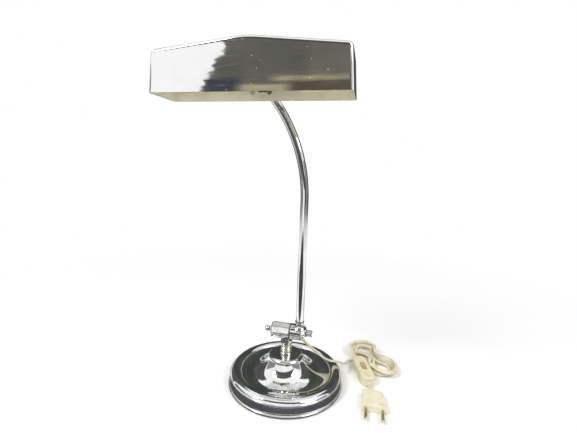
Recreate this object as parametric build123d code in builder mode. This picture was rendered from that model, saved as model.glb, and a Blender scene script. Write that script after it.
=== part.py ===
from build123d import *
import os
from math import cos, pi, radians, sin, sqrt, tan

# Chromed desk lamp with a round weighted base, a friction knuckle, a bent tube arm and a long shade.
# Millimetres, +Z up. The origin is the middle of the felt underside. X runs along the knuckle's axis
# and the shade's length, and the shade hangs on the -Y side of the arm.

# Fits
thread_clearance = 0.05
running_clearance = 0.05
axial_clearance = 0.1
drill_clearance = 0.2

# Base
base_radius = 75.0
sheet_wall = 0.8
felt_inset = 5.0
felt_thickness = 1.6
lip_gap = 0.4
lip_height = 3.0
band_height = 9.8
band_inset = 2.4
bead_height = 2.4
bead_bulge = 0.9
shoulder_rise = 4.3
shoulder_out = 1.6
rim_width = 15.6
ring_height = 18.2
ring_step = 1.0
dish_low_height = 16.0
bell_foot_radius = 42.0
bell_foot_height = 17.6
bell_top_radius = 23.6
bell_top_height = 35.0
cap_radius = 17.5
cap_drop = 0.7
plateau_radius = 10.5
plateau_height = 40.0
weight_inset = 9.0
weight_height = 13.0
weight_boss_radius = 10.0
nut_pocket_radius = 15.0
nut_pocket_height = 12.0

# Stem stack
stud_radius = 5.0
stud_below_nut = 1.0
washer_radius = 13.0
washer_thickness = 1.5
base_nut_flats = 17.0
base_nut_height = 6.0
flange_radius = 8.8
flange_height = 3.2
ring_groove_radius = 6.9
stem_ring_radius = 7.8
stem_ring_height = 2.8
neck_radius = 7.6
neck_waist_radius = 6.6
neck_height = 9.0

# Lower knuckle and its pivot
pivot_height = 70.4
octagon_flats = 19.4
octagon_left = -19.9
octagon_right = 4.4
knuckle_boss_height = 59.4
stud_grip = 6.5
bolt_radius = 3.0
bolt_end_radius = 2.0
cone_washer_thickness = 2.4
cone_washer_radius = 6.6
cone_washer_nose = 3.6
ball_radius = 3.7
ball_neck_radius = 2.6
ball_neck_length = 0.6
friction_washer_radius = 8.6
friction_washer_thickness = 0.8
pivot_nut_radius = 4.2
pivot_nut_length = 7.6
pivot_nut_bore = 6.4

# Upper knuckle and arm
arm_offset = 16.7
tee_radius = 10.1
tee_barrel_length = 14.2
tee_nose_length = 6.4
tee_nose_radius = 4.6
tee_neck_height = 86.2
tee_neck_radius = 5.9
tee_root_height = 76.5
tee_socket_height = 80.5
cord_hole_radius = 2.5
cord_hole_offset = 5.5
cord_exit_angle = -45.0
bush_radius = 3.6
bush_stand = 0.4
arm_tube_radius = 5.0
arm_tube_wall = 1.5
arm_straight_height = 242.3
arm_bend_radius = 196.4
arm_lead_radius = 2.7
eye_reach = 9.0
eye_radius = 6.0
eye_length = 10.0
eye_shank_length = 8.0
eye_shank_clearance = 0.05

# Shade
shade_length = 226.0
shade_top_length = 219.0
shade_depth = 56.7
shade_wall_height = 45.7
shade_gable_rise = 11.0
shade_corner_radius = 7.0
shade_apex_radius = 110.0
shade_edge_radius = 4.5
shade_wall = 0.8
shade_rim_height = 360.0
shade_centre_offset = -39.6
shade_back_gap = 9.5
tilt_axis_above_rim = 8.0

# Shade hinge
bracket_plate_width = 30.0
bracket_plate_height = 15.0
bracket_plate_thickness = 1.5
bracket_barrel_length = 9.0
bracket_barrel_radius = 6.0
hinge_screw_radius = 2.5
hinge_screw_grip = 8.0
hinge_head_radius = 5.0
hinge_head_length = 5.5
hinge_washer_thickness = 0.6
rivet_radius = 1.5
rivet_head_radius = 2.8
rivet_head_height = 1.0
bracket_rivet_spacing = 21.0

# Lampholder and bulb
holder_offset = -38.0
holder_height = 382.0
holder_mouth_offset = -46.0
holder_body_length = 46.0
holder_radius = 13.5
holder_bore_radius = 8.2
holder_bore_depth = 28.0
holder_ring_offset = -34.0
holder_ring_length = 10.0
holder_ring_radius = 17.5
holder_tail_radius = 8.5
holder_tail_length = 8.0
nipple_radius = 5.0
nipple_bore_radius = 3.4
nipple_stand = 9.0
holder_nut_flats = 14.0
holder_nut_height = 4.0
holder_strip_thickness = 1.5
holder_strip_height = 22.0
holder_strip_foot = 22.0
bulb_cap_radius = 6.9
bulb_cap_length = 24.0
bulb_cap_contact_radius = 3.0
bulb_cap_contact_length = 2.0
bulb_radius = 12.5
bulb_length = 92.0
bulb_neck_radius = 6.6
bulb_neck_length = 12.0

# Cord, hank, switch and plug
cord_radius = 2.0
cord_stand = 11.0
bend_share = 0.45
exit_run_length = 13.1
run_points = [
    (30.0, 25.0, 40.0),
    (51.0, 24.0, 28.0),
    (65.0, 30.0, 27.0),
    (74.0, 43.0, 14.0),
    (71.5, 62.0, 4.2),
    (74.5, 75.0, 2.4),
    (84.5, 82.0, 2.4),
]
run_end_length = 11.0
link_start_length = 5.0
link_turn = [
    (122.0, 11.8),
    (146.0, 11.2),
    (170.0, 10.0),
]
link_end_length = 6.4
hank_centre = (114.0, 84.0)
hank_heading = (0.73, -0.683)
hank_low_height = 2.4
hank_mid_height = 7.2
hank_high_height = 12.0
hank_outer = 17.8
hank_inner = 12.1
hank_end = 23.0
hank_waist_half = 3.0
hank_draw = 7.0
hank_exit = 22.5
nose_height = 4.4
nose_radius = 3.0
nose_length = 3.0
switch_end = (93.5, 67.6)
switch_heading = (0.30, -0.954)
switch_length = 56.0
switch_width = 19.0
switch_base_height = 8.0
switch_cover_height = 5.0
switch_floor = 2.0
switch_wall = 2.0
switch_corner_radius = 8.0
switch_edge_radius = 2.2
slot_length = 15.6
slot_width = 6.6
slider_travel = 5.0
slider_side_clearance = 0.3
slider_stand = 2.0
slider_plate_length = 21.0
slider_plate_width = 10.0
slider_plate_thickness = 2.0
slider_plate_gap = 0.3
switch_screw_radius = 1.4
switch_screw_head_radius = 2.6
switch_screw_head_height = 1.2
switch_screw_spacing = 42.0
switch_post_radius = 3.0
plug_entry = (113.6, -3.5)
plug_length = 31.0
plug_back_width = 24.5
plug_front_width = 29.5
plug_thickness = 9.6
plug_skew = 2.0
plug_corner_radius = 3.0
plug_edge_radius = 1.6
plug_pin_radius = 2.0
plug_pin_length = 19.0
plug_pin_spacing = 19.0
plug_pin_root = 9.0
plug_pin_root_radius = 1.6
plug_pin_round = 0.8

os.makedirs("parts", exist_ok=True)


def save(part, name):
    part.label = name
    export_step(part, "parts/" + name + ".step")


def x_plane(x, y, z):
    return Plane(origin=(x, y, z), x_dir=(0, 1, 0), z_dir=(1, 0, 0))


# Base shell: one spun sheet from the rolled lip to the plateau under the stem
lip_top = lip_gap + lip_height
band_top = lip_top + band_height
bead_top = band_top + bead_height
band_radius = base_radius - band_inset
ring_radius = base_radius - rim_width
felt_radius = base_radius - felt_inset
weight_radius = base_radius - weight_inset
shoulder_mid = (band_radius + ring_radius) / 2 + shoulder_out
dish_low_radius = (ring_radius + bell_foot_radius) / 2
cap_height = plateau_height - cap_drop
stud_hole = stud_radius + drill_clearance
with BuildPart() as base_shell:
    with BuildSketch(Plane.XZ):
        with BuildLine():
            ThreePointArc(
                (base_radius - 1.0, lip_gap),
                (base_radius, lip_gap + lip_height / 2),
                (base_radius - 1.4, lip_top),
            )
            ThreePointArc(
                (base_radius - 1.4, lip_top),
                (band_radius - 0.3, lip_top + band_height / 2),
                (band_radius, band_top),
            )
            ThreePointArc(
                (band_radius, band_top),
                (band_radius + bead_bulge, band_top + bead_height / 2),
                (band_radius, bead_top),
            )
            ThreePointArc(
                (band_radius, bead_top),
                (shoulder_mid, bead_top + shoulder_rise),
                (ring_radius, ring_height),
            )
            Line((ring_radius, ring_height), (ring_radius - 0.6, ring_height - ring_step))
            dish = ThreePointArc(
                (ring_radius - 0.6, ring_height - ring_step),
                (dish_low_radius, dish_low_height),
                (bell_foot_radius, bell_foot_height),
            )
            TangentArc(
                (bell_foot_radius, bell_foot_height),
                (bell_top_radius, bell_top_height),
                tangent=dish % 1,
            )
            ThreePointArc(
                (bell_top_radius, bell_top_height),
                (bell_top_radius - 1.8, cap_height - 1.1),
                (cap_radius, cap_height),
            )
            Line((cap_radius, cap_height), (plateau_radius, plateau_height))
            Line((plateau_radius, plateau_height), (stud_hole, plateau_height))
            offset(amount=sheet_wall, side=Side.LEFT)
        make_face()
    revolve(axis=Axis.Z)
save(base_shell.part, "base_shell")

# Cast weight under the shell, with a boss that meets the plateau and a pocket for the nut
with BuildPart() as base_weight:
    with BuildSketch(Plane.XZ):
        with BuildLine():
            Polyline(
                (nut_pocket_radius, felt_thickness),
                (weight_radius, felt_thickness),
                (weight_radius, weight_height),
                (weight_boss_radius, weight_height),
                (weight_boss_radius, plateau_height - sheet_wall),
                (stud_hole, plateau_height - sheet_wall),
                (stud_hole, nut_pocket_height),
                (nut_pocket_radius, nut_pocket_height),
                close=True,
            )
        make_face()
    revolve(axis=Axis.Z)
save(base_weight.part, "base_weight")

# Felt glued under the weight and the nut pocket
with BuildPart() as base_felt:
    with BuildSketch():
        Circle(felt_radius)
    extrude(amount=felt_thickness)
save(base_felt.part, "base_felt")

# Threaded stud from the nut pocket up into the lower knuckle, with its washer and nut
washer_bottom = nut_pocket_height - washer_thickness
nut_bottom = washer_bottom - base_nut_height
stem_flange_top = plateau_height + flange_height
stem_ring_top = stem_flange_top + stem_ring_height
stem_neck_top = stem_ring_top + neck_height
with BuildPart() as base_stud:
    with BuildSketch(Plane.XY.offset(nut_bottom - stud_below_nut)):
        Circle(stud_radius)
    extrude(amount=stem_neck_top + stud_grip - nut_bottom + stud_below_nut)
save(base_stud.part, "base_stud")

with BuildPart() as base_washer:
    with BuildSketch(Plane.XY.offset(washer_bottom)):
        Circle(washer_radius)
        Circle(stud_hole, mode=Mode.SUBTRACT)
    extrude(amount=washer_thickness)
save(base_washer.part, "base_washer")

with BuildPart() as base_nut:
    with BuildSketch(Plane.XY.offset(nut_bottom)):
        RegularPolygon(base_nut_flats / 2, 6, major_radius=False)
        Circle(stud_radius + thread_clearance, mode=Mode.SUBTRACT)
    extrude(amount=base_nut_height)
save(base_nut.part, "base_nut")


# Turned rings of the stem stack, each given as radius and height pairs from its foot
def turned(name, outline, bore):
    with BuildPart() as ring:
        with BuildSketch(Plane.XZ):
            with BuildLine():
                Polyline(*[(bore, outline[0][1])] + outline + [(bore, outline[-1][1])], close=True)
            make_face()
        revolve(axis=Axis.Z)
    save(ring.part, name)


turned(
    "stem_flange",
    [
        (flange_radius - 0.5, plateau_height),
        (flange_radius, plateau_height + 0.5),
        (flange_radius, plateau_height + flange_height * 0.6),
        (stem_ring_radius - 0.4, stem_flange_top),
    ],
    stud_hole,
)
turned(
    "stem_ring",
    [
        (ring_groove_radius, stem_flange_top),
        (stem_ring_radius, stem_flange_top + stem_ring_height * 0.3),
        (stem_ring_radius, stem_flange_top + stem_ring_height * 0.7),
        (ring_groove_radius, stem_ring_top),
    ],
    stud_hole,
)
turned(
    "stem_neck",
    [
        (neck_radius - 0.4, stem_ring_top),
        (neck_radius, stem_ring_top + 0.4),
        (neck_radius, stem_ring_top + neck_height * 0.2),
        (neck_waist_radius, stem_ring_top + neck_height * 0.32),
        (neck_waist_radius, stem_ring_top + neck_height * 0.72),
        (neck_radius, stem_ring_top + neck_height * 0.86),
        (neck_radius, stem_neck_top),
    ],
    stud_hole,
)

# Lower knuckle: an octagonal barrel on the stem, one edge up, bored for the pivot bolt
bolt_bore = bolt_radius + thread_clearance
octagon_length = octagon_right - octagon_left
with BuildPart() as lower_knuckle:
    with BuildSketch(x_plane(octagon_left, 0, pivot_height)):
        RegularPolygon(octagon_flats / 2, 8, major_radius=False)
    extrude(amount=octagon_length)
    chamfer(lower_knuckle.faces().sort_by(Axis.X)[0].edges(), 1.2)
    with BuildSketch(Plane.XY.offset(stem_neck_top)):
        Circle(neck_radius)
    extrude(amount=knuckle_boss_height - stem_neck_top)
    with BuildSketch(Plane.XY.offset(knuckle_boss_height)):
        with Locations((octagon_right - neck_radius, 0)):
            Rectangle(2 * neck_radius, 2 * neck_waist_radius)
        Circle(neck_radius, mode=Mode.INTERSECT)
    extrude(amount=pivot_height - knuckle_boss_height)
    with BuildSketch(x_plane(octagon_left, 0, pivot_height)):
        Circle(bolt_bore)
    extrude(amount=octagon_length, mode=Mode.SUBTRACT)
    with BuildSketch(Plane.XY.offset(stem_neck_top)):
        Circle(stud_radius + thread_clearance)
    extrude(amount=stud_grip + drill_clearance, mode=Mode.SUBTRACT)
save(lower_knuckle.part, "lower_knuckle")

# Pivot: cone washer and ball on the left, friction washer in the middle, nut on the right
cone_washer_left = octagon_left - cone_washer_thickness
ball_x = cone_washer_left - ball_neck_length - ball_radius
tee_left = octagon_right + friction_washer_thickness + axial_clearance
tee_right = tee_left + tee_barrel_length + tee_nose_length
pivot_nut_left = tee_right + axial_clearance


def x_turned(outline, axis_y, axis_z):
    section = Plane(origin=(0, axis_y, axis_z), x_dir=(1, 0, 0), z_dir=(0, -1, 0))
    with BuildPart() as solid:
        with BuildSketch(section):
            with BuildLine():
                Polyline(*outline, close=True)
            make_face()
        revolve(axis=Axis((0, axis_y, axis_z), (1, 0, 0)))
    return solid.part


save(
    x_turned(
        [
            (cone_washer_left - ball_neck_length, 0),
            (cone_washer_left - ball_neck_length, bolt_end_radius),
            (cone_washer_left, bolt_end_radius),
            (cone_washer_left, bolt_radius),
            (pivot_nut_left, bolt_radius),
            (pivot_nut_left, bolt_end_radius),
            (pivot_nut_left + pivot_nut_bore, bolt_end_radius),
            (pivot_nut_left + pivot_nut_bore, 0),
        ],
        0,
        pivot_height,
    ),
    "pivot_bolt",
)
save(
    x_turned(
        [
            (cone_washer_left, bolt_bore),
            (cone_washer_left, cone_washer_nose),
            (octagon_left, cone_washer_radius),
            (octagon_left, bolt_bore),
        ],
        0,
        pivot_height,
    ),
    "cone_washer",
)
with BuildPart() as ball_finial:
    with Locations((ball_x, 0, pivot_height)):
        Sphere(ball_radius)
    with BuildSketch(x_plane(ball_x, 0, pivot_height)):
        Circle(ball_neck_radius)
    extrude(amount=cone_washer_left - ball_x)
    with BuildSketch(x_plane(cone_washer_left - ball_neck_length, 0, pivot_height)):
        Circle(bolt_end_radius + thread_clearance)
    extrude(amount=ball_neck_length, mode=Mode.SUBTRACT)
save(ball_finial.part, "ball_finial")
save(
    x_turned(
        [
            (octagon_right, bolt_bore),
            (octagon_right, friction_washer_radius),
            (octagon_right + friction_washer_thickness, friction_washer_radius),
            (octagon_right + friction_washer_thickness, bolt_bore),
        ],
        0,
        pivot_height,
    ),
    "friction_washer",
)
nut_bore = bolt_end_radius + thread_clearance
save(
    x_turned(
        [
            (pivot_nut_left, nut_bore),
            (pivot_nut_left, pivot_nut_radius),
            (pivot_nut_left + pivot_nut_length - 0.6, pivot_nut_radius),
            (pivot_nut_left + pivot_nut_length, pivot_nut_radius - 0.6),
            (pivot_nut_left + pivot_nut_length, 0),
            (pivot_nut_left + pivot_nut_bore, 0),
            (pivot_nut_left + pivot_nut_bore, nut_bore),
        ],
        0,
        pivot_height,
    ),
    "pivot_nut",
)

# Upper knuckle: a turned barrel on the bolt, with a flared neck that holds the arm tube
arm_axis = Axis((arm_offset, 0, 0), (0, 0, 1))
nose_left = tee_left + tee_barrel_length
exit_y = cos(radians(cord_exit_angle))
exit_z = sin(radians(cord_exit_angle))
exit_plane = Plane(
    origin=(arm_offset, 0, pivot_height), x_dir=(1, 0, 0), z_dir=(0, exit_y, exit_z)
)
with BuildPart() as upper_knuckle:
    with BuildSketch(Plane(origin=(0, 0, pivot_height), x_dir=(1, 0, 0), z_dir=(0, -1, 0))):
        with BuildLine():
            Polyline((tee_left, 0), (tee_left, tee_radius), (nose_left, tee_radius))
            ThreePointArc(
                (nose_left, tee_radius),
                (nose_left + tee_nose_length * 0.35, (tee_radius + tee_nose_radius) / 2 - 0.9),
                (tee_right, tee_nose_radius),
            )
            Polyline((tee_right, tee_nose_radius), (tee_right, 0), (tee_left, 0))
        make_face()
    revolve(axis=Axis((0, 0, pivot_height), (1, 0, 0)))
    neck_root_radius = tee_radius - 1.0
    with BuildSketch(Plane(origin=(arm_offset, 0, 0), x_dir=(1, 0, 0), z_dir=(0, -1, 0))):
        with BuildLine():
            Polyline(
                (0, pivot_height),
                (neck_root_radius, pivot_height),
                (neck_root_radius, tee_root_height),
            )
            ThreePointArc(
                (neck_root_radius, tee_root_height),
                (tee_neck_radius + 0.25, tee_root_height + (tee_neck_height - tee_root_height) * 0.42),
                (tee_neck_radius, tee_neck_height),
            )
            Polyline((tee_neck_radius, tee_neck_height), (0, tee_neck_height), (0, pivot_height))
        make_face()
    revolve(axis=arm_axis)
    with BuildSketch(Plane(origin=(tee_left, 0, pivot_height), x_dir=(0, 1, 0), z_dir=(-1, 0, 0))):
        Circle(tee_radius + tee_neck_height)
    extrude(amount=tee_radius, mode=Mode.SUBTRACT)
    with BuildSketch(x_plane(tee_left, 0, pivot_height)):
        Circle(bolt_radius + running_clearance)
    extrude(amount=tee_right - tee_left, mode=Mode.SUBTRACT)
    with BuildSketch(Plane(origin=(arm_offset, 0, tee_socket_height))):
        Circle(arm_tube_radius + thread_clearance)
    extrude(amount=tee_neck_height - tee_socket_height, mode=Mode.SUBTRACT)
    with BuildSketch(Plane(origin=(arm_offset, cord_hole_offset, tee_socket_height))):
        Circle(cord_hole_radius - 0.3)
    extrude(amount=-(tee_socket_height - pivot_height + cord_hole_offset), mode=Mode.SUBTRACT)
    with BuildSketch(exit_plane.offset(cord_hole_offset)):
        Circle(bush_radius)
    extrude(amount=tee_radius, mode=Mode.SUBTRACT)
save(upper_knuckle.part, "upper_knuckle")

# Cord bush at the back of the barrel, its mouth rounded about the pivot
with BuildPart() as cord_bush:
    with BuildSketch(exit_plane.offset(cord_hole_offset)):
        Circle(bush_radius - thread_clearance)
        Circle(cord_hole_radius, mode=Mode.SUBTRACT)
    extrude(amount=tee_radius)
    with BuildSketch(x_plane(arm_offset - tee_radius, 0, pivot_height)):
        Circle(tee_radius + bush_stand)
    extrude(amount=2 * tee_radius, mode=Mode.INTERSECT)
save(cord_bush.part, "cord_bush")

# Arm tube: straight from the knuckle, then one even bend to the left up to the shade's hinge
tilt_height = shade_rim_height + tilt_axis_above_rim
rise = (tilt_height - arm_straight_height) / arm_bend_radius
eye_bend = Vector(sqrt(1 - rise * rise), rise).get_angle(Vector(1, 0))
eye_x = arm_offset - arm_bend_radius * (1 - cos(radians(eye_bend)))
tube_bend = eye_bend - eye_reach / arm_bend_radius * 180 / pi
bend_mid = tube_bend / 2


def on_bend(angle):
    return (
        arm_offset - arm_bend_radius * (1 - cos(radians(angle))),
        0,
        arm_straight_height + arm_bend_radius * sin(radians(angle)),
    )


def along_arm(start_height, section):
    with BuildPart() as swept:
        with BuildLine():
            Line((arm_offset, 0, start_height), (arm_offset, 0, arm_straight_height))
            ThreePointArc((arm_offset, 0, arm_straight_height), on_bend(bend_mid), on_bend(tube_bend))
        with BuildSketch(Plane(origin=(arm_offset, 0, start_height))):
            for radius, mode in section:
                Circle(radius, mode=mode)
        sweep()
    return swept.part


tube_bore = arm_tube_radius - arm_tube_wall
arm_tube = along_arm(tee_socket_height, [(arm_tube_radius, Mode.ADD), (tube_bore, Mode.SUBTRACT)])
save(arm_tube, "arm_tube")

# Arm eye: a shank in the tube's end and a barrel for the shade's hinge screw
tube_end = Vector(*on_bend(tube_bend))
eye_centre = Vector(eye_x, 0, tilt_height)
end_direction = Vector(-sin(radians(tube_bend)), 0, cos(radians(tube_bend)))
end_plane = Plane(origin=tube_end, x_dir=(0, 1, 0), z_dir=end_direction)
eye_left = eye_x - eye_length / 2
with BuildPart() as arm_eye:
    with BuildSketch(end_plane.offset(-eye_shank_length)):
        Circle(tube_bore - eye_shank_clearance - 0.3)
    extrude(amount=eye_shank_length + eye_reach)
    with BuildSketch(end_plane):
        Circle(arm_tube_radius)
    extrude(amount=eye_reach)
    with BuildSketch(x_plane(eye_left, 0, tilt_height)):
        Circle(eye_radius)
    extrude(amount=eye_length)
    with BuildSketch(x_plane(eye_left, 0, tilt_height)):
        Rectangle(4 * eye_radius, 6 * eye_radius)
    extrude(amount=-eye_radius, mode=Mode.SUBTRACT)
    with BuildSketch(x_plane(eye_left, 0, tilt_height)):
        Circle(hinge_screw_radius + thread_clearance)
    extrude(amount=hinge_screw_grip + drill_clearance, mode=Mode.SUBTRACT)
save(arm_eye.part, "arm_eye")

# Lead inside the tube, from the knuckle to the eye's shank
lead_bend = tube_bend - (eye_shank_length + 1.0) / arm_bend_radius * 180 / pi
with BuildPart() as arm_lead:
    with BuildLine():
        Line((arm_offset, 0, tee_socket_height), (arm_offset, 0, arm_straight_height))
        ThreePointArc((arm_offset, 0, arm_straight_height), on_bend(lead_bend / 2), on_bend(lead_bend))
    with BuildSketch(Plane(origin=(arm_offset, 0, tee_socket_height))):
        Circle(arm_lead_radius)
    sweep()
save(arm_lead.part, "arm_lead")

# Places on the back wall that the shade, the hinge bracket and the holder strip share
shade_back = -shade_back_gap
inner_back = shade_back - shade_wall
bracket_right = eye_left - axial_clearance - hinge_washer_thickness
bracket_left = bracket_right - bracket_barrel_length
bracket_x = (bracket_left + bracket_right) / 2
plate_face = shade_back + bracket_plate_thickness
plate_centre_z = shade_rim_height + tilt_axis_above_rim + 1.5
rivet_places = [
    (bracket_x - bracket_rivet_spacing / 2, plate_centre_z),
    (bracket_x + bracket_rivet_spacing / 2, plate_centre_z),
]
holder_back_x = holder_mouth_offset + holder_body_length
strip_x = holder_back_x + holder_tail_length
strip_reach = inner_back - (holder_offset - holder_nut_flats)
holder_rivet_places = [
    (strip_x + holder_strip_foot * 0.6, holder_height - holder_strip_height * 0.27),
    (strip_x + holder_strip_foot * 0.6, holder_height + holder_strip_height * 0.27),
]

# Shade: a folded sheet box with a low gable along the top, open below
half_length = shade_length / 2
half_top = shade_top_length / 2
shade_corner = (shade_centre_offset, shade_back, shade_rim_height)
shade_section = Plane(origin=shade_corner, x_dir=(1, 0, 0), z_dir=(0, -1, 0))
with BuildPart() as shade_shell:
    with BuildSketch(shade_section) as shade_face:
        with BuildLine():
            Polyline(
                (-half_length, 0),
                (half_length, 0),
                (half_top, shade_wall_height),
                (0, shade_wall_height + shade_gable_rise),
                (-half_top, shade_wall_height),
                close=True,
            )
        make_face()
        heights = shade_face.vertices().group_by(Axis.Y)
        fillet(heights[-1], shade_apex_radius)
        fillet(shade_face.vertices().group_by(Axis.Y)[1], shade_corner_radius)
    extrude(amount=shade_depth)
    side_faces = shade_shell.faces().filter_by(Axis.Y)
    rim_edges = shade_shell.edges().group_by(Axis.Z)[0]
    fillet([e for e in side_faces.edges() if e not in rim_edges], shade_edge_radius)
    mouth = shade_shell.faces().sort_by(Axis.Z)[0]
    offset(amount=-shade_wall, openings=mouth)
    for x, z in rivet_places + holder_rivet_places:
        with BuildSketch(Plane(origin=(x, shade_back, z), x_dir=(1, 0, 0), z_dir=(0, -1, 0))):
            Circle(rivet_radius + thread_clearance)
        extrude(amount=2 * shade_wall, mode=Mode.SUBTRACT)
save(shade_shell.part, "shade_shell")

# Hinge bracket: a plate riveted to the back wall with half of the hinge barrel
with BuildPart() as hinge_bracket:
    back_plane = Plane(origin=(bracket_x, shade_back, plate_centre_z), x_dir=(-1, 0, 0), z_dir=(0, 1, 0))
    with BuildSketch(back_plane):
        RectangleRounded(bracket_plate_width, bracket_plate_height, 3.0)
    extrude(amount=bracket_plate_thickness)
    with BuildSketch(x_plane(bracket_left, 0, tilt_height)):
        Circle(bracket_barrel_radius)
        with Locations(((plate_face - 0.1) / 2, 0)):
            Rectangle(abs(plate_face) + 0.1, bracket_barrel_radius)
    extrude(amount=bracket_barrel_length)
    with BuildSketch(x_plane(bracket_left, 0, tilt_height)):
        Circle(hinge_screw_radius + running_clearance)
    extrude(amount=bracket_barrel_length, mode=Mode.SUBTRACT)
    for x, z in rivet_places:
        with BuildSketch(Plane(origin=(x, shade_back, z), x_dir=(-1, 0, 0), z_dir=(0, 1, 0))):
            Circle(rivet_radius + thread_clearance)
        extrude(amount=bracket_plate_thickness, mode=Mode.SUBTRACT)
save(hinge_bracket.part, "hinge_bracket")


# Rivets and screws that repeat share one solid set each
def rivets(name, places, head_face, tail_face):
    with BuildPart() as rivet_set:
        for x, z in places:
            stem = Plane(origin=(x, tail_face, z), x_dir=(-1, 0, 0), z_dir=(0, 1, 0))
            with BuildSketch(stem):
                Circle(rivet_radius)
            extrude(amount=head_face - tail_face)
            with BuildSketch(stem.offset(head_face - tail_face)):
                Circle(rivet_head_radius)
            extrude(amount=rivet_head_height, taper=30)
            with BuildSketch(stem):
                Circle(rivet_head_radius)
            extrude(amount=-rivet_head_height, taper=30)
    save(rivet_set.part, name)


rivets("bracket_rivets", rivet_places, plate_face, inner_back)

# Hinge screw from the left through the bracket into the arm eye, with a fibre washer between
head_right = bracket_left - axial_clearance
save(
    x_turned(
        [
            (head_right - hinge_head_length, 0),
            (head_right - hinge_head_length, hinge_head_radius - 0.6),
            (head_right - hinge_head_length + 0.6, hinge_head_radius),
            (head_right - 0.6, hinge_head_radius),
            (head_right, hinge_head_radius - 0.6),
            (head_right, hinge_screw_radius),
            (eye_left + hinge_screw_grip, hinge_screw_radius),
            (eye_left + hinge_screw_grip, 0),
        ],
        0,
        tilt_height,
    ),
    "hinge_screw",
)
save(
    x_turned(
        [
            (eye_left - hinge_washer_thickness, hinge_screw_radius + thread_clearance),
            (eye_left - hinge_washer_thickness, eye_radius - 0.6),
            (eye_left, eye_radius - 0.6),
            (eye_left, hinge_screw_radius + thread_clearance),
        ],
        0,
        tilt_height,
    ),
    "hinge_washer",
)

# Lampholder strip: one leg riveted to the back wall, the other standing across the shade
foot_plane = Plane(origin=(strip_x, inner_back, holder_height), x_dir=(1, 0, 0), z_dir=(0, -1, 0))
with BuildPart() as holder_strip:
    with BuildSketch(foot_plane):
        with Locations((holder_strip_foot / 2, 0)):
            Rectangle(holder_strip_foot, holder_strip_height)
    extrude(amount=holder_strip_thickness)
    with BuildSketch(x_plane(strip_x, inner_back - strip_reach / 2, holder_height)):
        Rectangle(strip_reach, holder_strip_height)
    extrude(amount=holder_strip_thickness)
    fillet(holder_strip.edges().filter_by(Axis.X).group_by(Axis.Y)[0], 6.0)
    with BuildSketch(x_plane(strip_x, holder_offset, holder_height)):
        Circle(nipple_radius + thread_clearance)
    extrude(amount=holder_strip_thickness, mode=Mode.SUBTRACT)
    for x, z in holder_rivet_places:
        with BuildSketch(Plane(origin=(x, inner_back, z), x_dir=(1, 0, 0), z_dir=(0, -1, 0))):
            Circle(rivet_radius + thread_clearance)
        extrude(amount=holder_strip_thickness, mode=Mode.SUBTRACT)
save(holder_strip.part, "holder_strip")
rivets("holder_rivets", holder_rivet_places, shade_back, inner_back - holder_strip_thickness)

# Lampholder: moulded body with a stepped tail, a threaded nipple with its nut, and a shade ring
ring_right = holder_ring_offset + holder_ring_length
save(
    x_turned(
        [
            (holder_mouth_offset, holder_bore_radius),
            (holder_mouth_offset, holder_radius - 0.8),
            (holder_mouth_offset + 0.8, holder_radius),
            (holder_back_x - 4.0, holder_radius),
            (holder_back_x, holder_tail_radius),
            (strip_x, holder_tail_radius),
            (strip_x, nipple_radius + thread_clearance),
            (holder_back_x, nipple_radius + thread_clearance),
            (holder_back_x, 0),
            (holder_mouth_offset + holder_bore_depth, 0),
            (holder_mouth_offset + holder_bore_depth, holder_bore_radius),
        ],
        holder_offset,
        holder_height,
    ),
    "holder_body",
)
save(
    x_turned(
        [
            (holder_ring_offset, holder_radius + thread_clearance),
            (holder_ring_offset, holder_ring_radius - 1.0),
            (holder_ring_offset + 1.0, holder_ring_radius),
            (ring_right - 1.0, holder_ring_radius),
            (ring_right, holder_ring_radius - 1.0),
            (ring_right, holder_radius + thread_clearance),
        ],
        holder_offset,
        holder_height,
    ),
    "holder_ring",
)
nipple_end = strip_x + nipple_stand
save(
    x_turned(
        [
            (holder_back_x, nipple_bore_radius),
            (holder_back_x, nipple_radius),
            (nipple_end, nipple_radius),
            (nipple_end, nipple_bore_radius),
        ],
        holder_offset,
        holder_height,
    ),
    "holder_nipple",
)
with BuildPart() as holder_nut:
    with BuildSketch(x_plane(strip_x + holder_strip_thickness, holder_offset, holder_height)):
        RegularPolygon(holder_nut_flats / 2, 6, major_radius=False)
        Circle(nipple_radius + thread_clearance, mode=Mode.SUBTRACT)
    extrude(amount=holder_nut_height)
save(holder_nut.part, "holder_nut")

# Bulb: brass cap in the holder and a tubular glass envelope
cap_seat = holder_mouth_offset + holder_bore_depth
cap_left = cap_seat - bulb_cap_contact_length - bulb_cap_length
bulb_left = cap_left - bulb_length
save(
    x_turned(
        [
            (cap_left, 0),
            (cap_left, bulb_cap_radius),
            (cap_seat - bulb_cap_contact_length - 2.0, bulb_cap_radius),
            (cap_seat - bulb_cap_contact_length, bulb_cap_contact_radius),
            (cap_seat, bulb_cap_contact_radius),
            (cap_seat, 0),
        ],
        holder_offset,
        holder_height,
    ),
    "bulb_cap",
)
with BuildPart() as bulb_glass:
    with BuildSketch(Plane(origin=(0, holder_offset, holder_height), x_dir=(1, 0, 0), z_dir=(0, -1, 0))):
        with BuildLine():
            Line((cap_left, 0), (cap_left, bulb_neck_radius))
            Spline(
                (cap_left, bulb_neck_radius),
                (cap_left - bulb_neck_length, bulb_radius),
                tangents=((-1, 0.2), (-1, 0)),
            )
            Line((cap_left - bulb_neck_length, bulb_radius), (bulb_left + bulb_radius, bulb_radius))
            RadiusArc((bulb_left + bulb_radius, bulb_radius), (bulb_left, 0), -bulb_radius)
            Line((bulb_left, 0), (cap_left, 0))
        make_face()
    revolve(axis=Axis((0, holder_offset, holder_height), (1, 0, 0)))
save(bulb_glass.part, "bulb_glass")

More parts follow.
